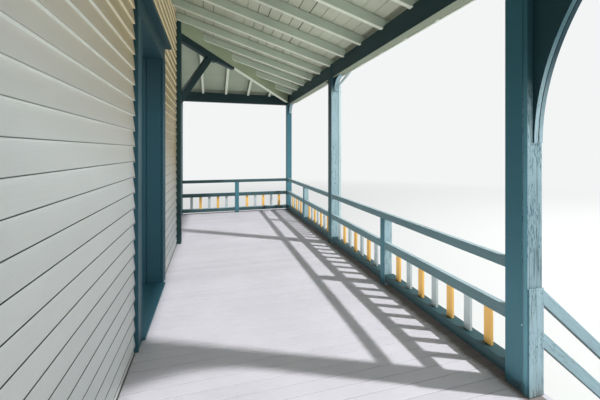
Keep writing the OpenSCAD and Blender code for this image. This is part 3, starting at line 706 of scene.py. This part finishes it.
def makePost(node, faceSide, paint, wornFaces, worn):
    low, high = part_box(node)
    bm = startShape()
    if faceSide:
        seam, board, back, face = posts["seam"], posts["faceBoard"], high.y - posts["faceBack"], startShape()
        if faceSide < 0:
            addBox(face, low, (low.x + board - seam, back, high.z))
            addBox(bm, (low.x + board, low.y, low.z), high)
        else:
            addBox(face, (high.x - board + seam, low.y, low.z), (high.x, back, high.z))
            addBox(bm, low, (high.x - board, high.y, high.z))
        softenEdges(face, posts["edge"], 2, posts["softOver"])
        finishPiece(node + "_face", face, tealFace, (node,), (worn, wornFaces))
    else:
        addBox(bm, low, high)
    softenEdges(bm, posts["edge"], 2, posts["softOver"])
    finishPiece(node + "_timber", bm, paint, (node,), (worn, wornFaces))


makePost("corner_post_left", 1, tealPost, weathered, wornStair)
makePost("stair_post", -1, tealPost, weathered, wornStair)
# the middle post's darker teal is painted shade
makePost("middle_post", 0, tealShade, weathered, wornPost)
makePost("corner_post_right", 0, tealEnd, rainedOn, wornPost)
makePost("end_post_left", 0, tealPost, weathered, wornPost)
makePost("end_post_right", 0, tealPost, rainedOn, wornPost)


def makeNail():
    # one painted nail head that has worked out of the post beside the stair
    low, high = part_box("stair_post")
    bm = startShape()
    made = bmesh.ops.create_cone(bm, cap_ends=True, segments=12, radius1=nail["radius"],
                                 radius2=nail["radius"] * nail["taper"], depth=nail["head"])["verts"]
    bmesh.ops.rotate(bm, verts=made, matrix=Matrix.Rotation(math.radians(-90), 3, "X"))
    bmesh.ops.translate(bm, verts=made, vec=(low.x + nail["in"], high.y + nail["proud"], floorZ + nail["above"]))
    finishPiece("stair_post_nail", bm, gutterPaint)


makeNail()
# the beams' undersides are painted pale: painted light from the floor
softened("beams_front", "front_beams", rounded, tealLong, 2, (beamUnderPaint, undersides))
softened("beams_ends", "end_beams", rounded, tealOut, 2)


brackets = {"seam": 0.003}


def makeArchPlies():
    # each arched bracket is two boards with a seam between them
    low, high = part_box("arch_brackets")
    middle, half = (low.y + high.y) / 2, brackets["seam"] / 2
    for name, moved, place, worn in (("brackets_arched_inner", low.y, middle + half, wornPly),
                                     ("brackets_arched_outer", high.y, middle - half, wornPlyOuter)):
        bm = nodeShape("arch_brackets")
        for v in bm.verts:
            if abs(v.co.y - moved) < 0.001:
                v.co.y = place
        softenEdges(bm, crisp)
        finishPiece(name, bm, archTeal, ("arch_brackets",), (worn, curvedUnder))


makeArchPlies()
softened("brackets_small", "small_brackets", crisp, archTeal, 1, (wornUp, curvedUnder))
softened("hip_arms", "hip_bracket_arms", rounded, tealOut, 2)
softened("hip_braces", "hip_bracket_braces", rounded, tealOut, 2)
print("posts, beams and brackets made")

# Trim of the wall. The trim beside the siding reaches behind the boards' faces, as it does on the house.
door = {"flat": 0.015, "band": 0.018, "bead": 0.012, "beadProud": 0.005, "ease": 0.003, "dip": 0.002,
        "headBand": 0.014, "headSeam": 0.002, "seam": 0.0015, "liningBack": 0.004, "stopFrom": 0.160,
        "stopTo": 0.190, "stopProud": 0.010, "groove": 0.003, "softOver": 60}
# The cap over the door from the side: out from the wall and up
crown = [(0.0, 0.0), (0.077, 0.0), (0.080, 0.003), (0.080, 0.030), (0.077, 0.034), (0.068, 0.036),
         (0.066, 0.040), (0.065, 0.052), (0.060, 0.064), (0.052, 0.073), (0.043, 0.078), (0.041, 0.082),
         (0.041, 0.096), (0.038, 0.100), (0.0, 0.100)]


def makeCornerBoards():
    bm = nodeShape("corner_boards")
    for side in (-1, 1):
        low, high = sorted((side * boardsEnd, side * (boardsEnd + cornerFace["wide"])))
        addBox(bm, (low, wallY - cornerFace["proud"], floorZ), (high, wallY + siding["trimDeep"], wallTop))
    softenEdges(bm, eased, 2)
    finishPiece("corner_boards_front", bm, cornerTeal, ("corner_boards",))
    softened("corner_boards_side", "corner_returns", eased, cornerTeal, 2)


def cutBack(low, high, by):
    # the span of a side piece across the doorway, with its edge at the opening moved back
    return (low.x, high.x - by) if low.x < 0 else (low.x + by, high.x)


def makeDoorway():
    band, bead, flat, deep = door["band"], door["bead"], door["flat"], siding["trimDeep"]
    ease, dip, proud = door["ease"], door["dip"], door["beadProud"]
    bm = startShape()
    for low, high in solidBoxes("door_casing_sides"):
        thick = high.y - low.y
        # across the casing, from its outer edge to the opening: a raised band, the flat, a round bead
        start, end, step = (low.x, high.x, 1) if low.x < 0 else (high.x, low.x, -1)
        places = [(start, 0, -deep), (start, 0, thick - ease), (start, ease, thick), (start, band - ease, thick),
                  (start, band, thick - dip), (start, band, flat), (end, -bead - dip, flat),
                  (end, -bead, flat + ease), (end, -bead / 2, flat + proud), (end, -dip, flat + ease),
                  (end, 0, flat), (end, 0, 0), (start, band, 0), (start, band, -deep)]
        corners = [(base + step * shift, wallY - out, low.z) for base, shift, out in places]
        addProfile(bm, corners, (0, 0, high.z - low.z))
    finishPiece("door_casings", bm, doorTeal, ("door_casing_sides",))

    low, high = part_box("door_casing_head")
    bm = startShape()
    addBox(bm, (low.x, high.y - flat, low.z + door["headBand"] + door["headSeam"]), high)
    addBox(bm, low, (high.x, high.y, low.z + door["headBand"]))
    addBox(bm, (low.x, high.y, low.z), (low.x + band, high.y + deep, high.z))
    addBox(bm, (high.x - band, high.y, low.z), (high.x, high.y + deep, high.z))
    softenEdges(bm, eased, 2)
    finishPiece("door_casing_top", bm, doorTeal, ("door_casing_head",))

    low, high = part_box("door_casing_cap")
    bm = startShape()
    addProfile(bm, [(low.x, wallY - out, low.z + rise) for out, rise in crown], (high.x - low.x, 0, 0))
    softenEdges(bm, fine, 1, door["softOver"])
    finishPiece("door_cap", bm, doorTeal, ("door_casing_cap",))

    bm = startShape()
    stop, end, groove = wallY + door["stopFrom"], wallY + door["stopTo"], door["groove"]
    for low, high in solidBoxes("door_lining_sides"):
        # the lining stops a little behind the casing, which leaves a dark seam
        a, b = cutBack(low, high, door["seam"])
        addBox(bm, (a, low.y + door["liningBack"], low.z), (b, stop - groove, high.z))
        addBox(bm, (a, end + groove, low.z), (b, high.y, high.z))
        a, b = cutBack(low, high, -door["stopProud"])
        addBox(bm, (a, stop, low.z), (b, end, high.z))
    softenEdges(bm, crisp)
    finishPiece("door_linings", bm, doorTeal, ("door_lining_sides",))
    softened("door_lining_top", "door_lining_head", crisp, doorTeal)
    softened("door_sill", "door_threshold", rounded, doorTeal, 2)


makeCornerBoards()
makeDoorway()
print("trim made")

# Railings and stair
rails = {"midUpper": 0.047, "strip": 0.006, "seam": 0.0015, "edge": 0.004, "midFrom": 0.3, "midTo": 0.6,
         "endPostsWithin": 1.0}


def makeRails(pieceName, node, paint, worn, wornFaces, lowPaint=None):
    # the middle rail is an upper piece with a thinner strip under it, set back on the porch side
    bm, lowRails = startShape(), startShape()
    for low, high in solidBoxes(node):
        if lowPaint and low.z - floorZ < rails["midFrom"]:
            addBox(lowRails, low, high)
            continue
        if not rails["midFrom"] < low.z - floorZ < rails["midTo"]:
            addBox(bm, low, high)
            continue
        split = high.z - rails["midUpper"]
        addBox(bm, (low.x, low.y, split), high)
        a, b = low.copy(), high.copy()
        b.z = split - rails["seam"]
        if high.x - low.x > high.y - low.y:
            b.y -= rails["strip"]
        elif low.x > 0:
            a.x += rails["strip"]
        else:
            b.x -= rails["strip"]
        addBox(bm, a, b)
    softenEdges(bm, rails["edge"], 2)
    finishPiece(pieceName, bm, paint, (node,), (worn, wornFaces))
    if lowPaint:
        softenEdges(lowRails, rails["edge"], 2)
        finishPiece(pieceName + "_low", lowRails, lowPaint, (node,))
    else:
        lowRails.free()


makeRails("railing_door_bay", "rails_door_bay", railLong, wornLong, weathered, railLow)
makeRails("railing_right_bay", "rails_right_bay", railLong, wornLong, weathered, railLow)
makeRails("railing_ends", "rails_ends", railOut, wornOut, rainedOn)


def makeRailPosts():
    # the two at the ends stand out of the sun, and their paint has held better
    for name, atEnds, paint, wornFaces in (("railing_posts", False, tealPost, weathered),
                                           ("railing_posts_ends", True, tealEnd, rainedOn)):
        bm = startShape()
        for low, high in solidBoxes("rail_posts"):
            if (max(abs(low.x), abs(high.x)) > cadHigh.x - rails["endPostsWithin"]) == atEnds:
                addBox(bm, low, high)
        softenEdges(bm, soft, 2)
        finishPiece(name, bm, paint, ("rail_posts",), (wornUp, wornFaces))


makeRailPosts()
softened("balusters_ochre", "balusters_yellow", crisp, yellowPaint)
softened("balusters_pale", "balusters_white", crisp, palePaint)
softened("stair_strings", "stair_stringers", crisp, sawnTimberOut)
softened("stair_steps", "stair_treads", nosed, treadPaint, 3)
softened("stair_fronts", "stair_risers", crisp, railLong)
softened("stair_foot_newels", "stair_newels", rounded, tealPost, 2, (wornFoot, weathered))
softened("stair_rails", "stair_handrails", soft, railSlope, 2, (wornSlope, weathered))
print("railings and stair made")

# Roof
roofBoards = {"width": 0.145, "tight": 0.002, "open": 0.010, "edge": 0.002, "shortest": 1.6, "longest": 4.2,
              "over": 0.005}
shingles = {"show": 0.125, "tab": 0.305, "slot": 0.006, "butt": 0.008, "top": 0.002, "lap": 0.03, "felt": 0.009,
            "least": 0.02, "capHalf": 0.13, "capLift": 0.004, "capButt": 0.010, "capThin": 0.005,
            "capOver": 1.2, "capWiden": 1.2, "capTop": 0.01}
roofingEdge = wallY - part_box("roofing_front")[0].y


def makeRoofBoards():
    bm = startShape()
    count = round(eaveOut / roofBoards["width"])
    pitch = eaveOut / count
    for row in range(count):
        gap = chance.uniform(roofBoards["tight"], roofBoards["open"])
        out0, out1 = row * pitch, (row + 1) * pitch - gap
        reach = hipX(out1)
        for x, end in boardRuns(-reach, reach, roofBoards):
            def place(u, v, w):
                # the first and the last board of a row are cut along the hips
                out = out1 if v else out0
                if u:
                    across = hipX(out) if end == reach else end - roofBoards["tight"]
                else:
                    across = -hipX(out) if x == -reach else x
                return frontSlope(across, out, 0 if w else roofBoards["over"] - boardsThick)

            addBlock(bm, place)
    softenEdges(bm, roofBoards["edge"])
    finishPiece("roof_boards_over_front", bm, roofBoardPaint, ("roof_boards_front",))

    bm = startShape()
    run = eaveX - houseX
    count = round(run / roofBoards["width"])
    pitch = run / count
    for side in (-1, 1):
        for row in range(count):
            x0, x1 = houseX + row * pitch, houseX + (row + 1) * pitch - roofBoards["tight"]

            def place(u, v, w):
                x = x1 if u else x0
                out = hipOut(x) if v else backOut + roofBoards["edge"]
                return endSlope(side * x, out, 0 if w else -boardsThick)

            addBlock(bm, place)
    softenEdges(bm, roofBoards["edge"])
    finishPiece("roof_boards_over_ends", bm, roofBoardPaintOut, ("roof_boards_ends",))


def layShingles(bm, point, reach, top, edge, slope):
    # felt over a slope, then courses of tabs up from its lower edge. The function point turns a way
    # across, a way down and a lift into a place, and reach gives a course's two ends.
    def addTab(first, last, upper, lower, base, upperLift, lowerLift):
        def place(u, v, w):
            down = lower if v else upper
            ends = reach(down)
            across = min(max(last if u else first, ends[0]), ends[1])
            return point(across, down, base + (lowerLift if v else upperLift) * w)

        addBlock(bm, place)

    tab, felt, margin = shingles["tab"], shingles["felt"], shingles["least"]
    step = shingles["show"] / math.hypot(1, slope)
    addTab(*reach(edge), top, edge, 0, felt, felt)
    row, low = 0, edge
    while low > top + margin / 2:
        high = max(top, low - step)
        first = reach(low)[0] - (tab / 2 if row % 2 else 0)
        while first < reach(low)[1]:
            last = first + tab - shingles["slot"]
            if last > reach(high)[0] + margin and first < reach(high)[1] - margin:
                upper = max(top, high - shingles["lap"])
                addTab(first, last, upper, low, felt, shingles["top"], shingles["butt"])
            first += tab
        row, low = row + 1, high


def makeShingles():
    bm = startShape()
    layShingles(bm, frontSlope, lambda out: (-hipX(out), hipX(out)), 0, roofingEdge, slopeFront)
    finishPiece("shingles_front", bm, shingleFelt, ("roofing_front",))

    bm = startShape()
    for side in (-1, 1):
        layShingles(bm, lambda out, x, lift: endSlope(side * x, out, lift), lambda x: (backOut, hipOut(x)),
                    houseX, hipX(roofingEdge), slopeEnd)
    finishPiece("shingles_ends", bm, shingleFelt, ("roofing_ends",))


def makeHipCaps():
    bm = startShape()
    length = math.hypot(hipX(roofingEdge) - houseX, roofingEdge)
    count = round(length / shingles["show"])
    half = shingles["capHalf"]
    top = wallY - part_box("corner_boards")[0].y + shingles["capTop"]
    for side in (-1, 1):
        for i in range(count):
            low = roofingEdge * (1 - i / count)
            high = max(roofingEdge * (1 - (i + shingles["capOver"]) / count), top)
            if low - high < shingles["least"]:
                continue
            for frontHalf in (True, False):
                def place(u, v, w):
                    out = low if v else high
                    lift = shingles["felt"] + shingles["capLift"] + shingles["capButt" if v else "capThin"] * w
                    if frontHalf:
                        return frontSlope(side * (hipX(out) - half * u), out, lift)
                    return endSlope(side * hipX(out), out - half * u * shingles["capWiden"], lift)

                addBlock(bm, place)
    finishPiece("hip_cap_shingles", bm, shingleFelt)


flashing = {"thick": 0.0015, "over": 0.09, "up": 0.07, "lift": 0.0175}


def makeFlashing():
    # an angle of sheet metal where the roof meets the wall
    bm = startShape()
    thick, lift = flashing["thick"], flashing["lift"]
    addBlock(bm, lambda u, v, w: frontSlope(boardsEnd if u else -boardsEnd, flashing["over"] if v else 0.0,
                                            lift + (thick if w else 0)))
    addBox(bm, (-boardsEnd, wallY - thick, boardsTop + lift), (boardsEnd, wallY, boardsTop + flashing["up"]))
    finishPiece("roof_flashing", bm, flashingMetal)


# undersides get the paler paint: painted light from the floor
rafterUnder = (rafterUnderPaint, undersides)
softened("rafters_over_front", "rafters_front", eased, rafterPaint, 1, rafterUnder)
softened("rafters_over_ends", "rafters_ends", eased, rafterPaintAlong, 1, rafterUnder)
softened("rafters_hip", "hip_rafters", eased, hipPaint, 1, rafterUnder)
# the fascia's back is painted pale like the rafter undersides: painted light where shade falls past the beam
softened("fascia_along_front", "fascia_front", eased, rafterUnderPaint, 1, (wornLong, weathered))
softened("fascia_along_ends", "fascia_ends", eased, tealOut, 1, (wornOut, weathered))
makeRoofBoards()
makeShingles()
makeHipCaps()
makeFlashing()
print("roof made")

# Gutters and downspout
gutters = {"hanger": 0.022, "hangerThick": 0.002, "hangerSink": 0.004, "spacing": 0.75, "endGap": 0.1,
           "lip": 0.009, "lipEnd": 0.012, "inset": 0.0005, "strap": 0.018, "strapProud": 0.002,
           "strapsUp": (0.25, 1.35), "strapDown": 0.12}


def makeGutterFittings():
    # straps across the open gutters, a rolled lip along their outer edges and straps round the downspout
    bm = startShape()
    (low, high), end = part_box("gutter_front"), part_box("gutter_ends")[1]
    hanger, thick, gap = gutters["hanger"], gutters["hangerThick"], gutters["endGap"]
    lip, lipEnd, inset = gutters["lip"], gutters["lipEnd"], gutters["inset"]
    top = high.z - gutters["hangerSink"]
    wide = high.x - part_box("fascia_front")[1].x
    half = high.x - wide
    count = int(half * 2 / gutters["spacing"])
    for i in range(count + 1):
        x = gap - half + i * (half - gap) * 2 / count
        addBox(bm, (x, low.y + thick, top - thick), (x + hanger, low.y + wide - thick / 2, top))
    addBox(bm, (lipEnd - high.x, low.y + inset, high.z - lip), (high.x - lipEnd, low.y + lip, high.z - inset))
    for side in (-1, 1):
        a, b = sorted((side * (end.x - wide + thick / 2), side * (end.x - thick)))
        y = low.y + wide + gap
        while y < end.y - gap:
            addBox(bm, (a, y, top - thick), (b, y + hanger, top))
            y += gutters["spacing"]
        a, b = sorted((side * (end.x - lip), side * (end.x - inset)))
        addBox(bm, (a, low.y + lipEnd, end.z - lip), (b, end.y - gutters["hangerSink"], end.z - inset))
    low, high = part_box("downspout")
    proud = Vector((gutters["strapProud"], gutters["strapProud"], 0))
    for z in [floorZ + up for up in gutters["strapsUp"]] + [high.z - gutters["strapDown"]]:
        low.z, high.z = z, z + gutters["strap"]
        addBox(bm, low - proud, high + proud)
    softenEdges(bm, hair)
    finishPiece("gutter_fittings", bm, gutterPaint)


softened("gutter_along_front", "gutter_front", fine, gutterPaint)
softened("gutter_along_ends", "gutter_ends", fine, gutterPaint)
softened("downspout_pipe", "downspout", soft, gutterPaint, 2)
softened("downspout_elbow", "downspout_offset", soft, gutterPaint, 2)
makeGutterFittings()
print("gutters made")

# Studio: a pale floor that fades into a pale sky, and soft light
studio = {"floor": "#e0e1df", "light": "#f2f5f8", "lightStrength": 0.5, "shown": "#f3f5f5", "floorHalf": 60.0,
          "floorUnder": 0.002, "fadeFrom": 7.0, "fadeTo": 22.0}


def shownRays(add):
    # rays of the camera, and those by which a glossy or clear surface shows the studio
    rays = add("LightPath").outputs
    mirrored = add("Math", [rays["Is Glossy Ray"], rays["Is Transmission Ray"]])
    return add("Math", [add("Math", [rays["Is Camera Ray"], mirrored]), 1.0], operation="MINIMUM")


def makeStudio():
    bm = bmesh.new()
    bmesh.ops.create_grid(bm, x_segments=1, y_segments=1, size=studio["floorHalf"],
                          matrix=Matrix.Translation((0, 0, cadLow.z - studio["floorUnder"])))
    mesh = bpy.data.meshes.new("studio_floor")
    bm.to_mesh(mesh)
    bm.free()
    # matt pale paint that keeps the shadow, and far off the same white as the sky
    material, add, place = startMaterial("paleStudioFloor")
    away = add("VectorMath", [place], operation="LENGTH")
    far = add("MapRange", [away, studio["fadeFrom"], studio["fadeTo"]])
    faded = add("Math", [far, shownRays(add)], operation="MULTIPLY")
    matt, shown = add("BsdfDiffuse", [studio["floor"]]), add("Emission", [studio["shown"]])
    add("OutputMaterial", [add("MixShader", [faded, matt, shown])])
    mesh.materials.append(material)
    addObject("studio_floor", mesh)

    world = bpy.data.worlds.new("studioSky")
    world.use_nodes = True
    world.node_tree.nodes.clear()
    add = partial(addNode, world.node_tree)
    light = add("Background", [studio["light"], studio["lightStrength"]])
    pale = add("Background", [studio["shown"]])
    add("OutputWorld", [add("MixShader", [shownRays(add), light, pale])])
    bpy.context.scene.world = world


lamps = {
    "keyLamp": {"at": (-9.9, -19.2, 21.7), "aim": (-0.4, 0.2, 0.8), "size": (0.9, 0.9),
                "watts": 9400.0},  # stands where the sun stood
    "fillLamp": {"at": (-14.0, -7.0, 4.5), "aim": (1.0, 0.0, 2.0), "size": (7.0, 7.0), "watts": 250.0},
    "floorBounce": {"at": (0.0, wallY - 1.75, floorZ + 0.03), "aim": (0.0, wallY - 1.75, floorZ + 3.0),
                    "size": (9.0, 1.2), "watts": 44.0, "spread": 150},
}


def makeLamps():
    for name, look in lamps.items():
        light = bpy.data.lights.new(name, "AREA")
        light.shape = "RECTANGLE"
        light.size, light.size_y = look["size"]
        light.energy = look["watts"]
        light.spread = math.radians(look.get("spread", 180))
        lamp = addObject(name, light)
        lamp.location = look["at"]
        lamp.rotation_euler = (Vector(look["aim"]) - Vector(look["at"])).to_track_quat("-Z", "Y").to_euler()
        lamp.visible_camera = False


# The camera: along the wall, out from it and above the floor, in metres, and its lens in millimetres
view = {"along": -3.131, "out": 0.552, "eye": 1.5, "turn": -105.76, "lens": 18.6, "sensor": 36.0,
        "shiftY": -48.7 / 600, "near": 0.05, "far": 300.0}


def makeCamera():
    data = bpy.data.cameras.new("photoCamera")
    data.sensor_width = view["sensor"]
    data.lens = view["lens"]
    data.shift_y = view["shiftY"]
    data.clip_start = view["near"]
    data.clip_end = view["far"]
    camera = addObject("photoCamera", data)
    camera.location = (view["along"], wallY - view["out"], floorZ + view["eye"])
    camera.rotation_euler = (math.radians(90), 0, math.radians(view["turn"]))
    bpy.context.scene.camera = camera


makeStudio()
makeLamps()
makeCamera()
bpy.context.scene.view_settings.view_transform = "Standard"
print("studio made")
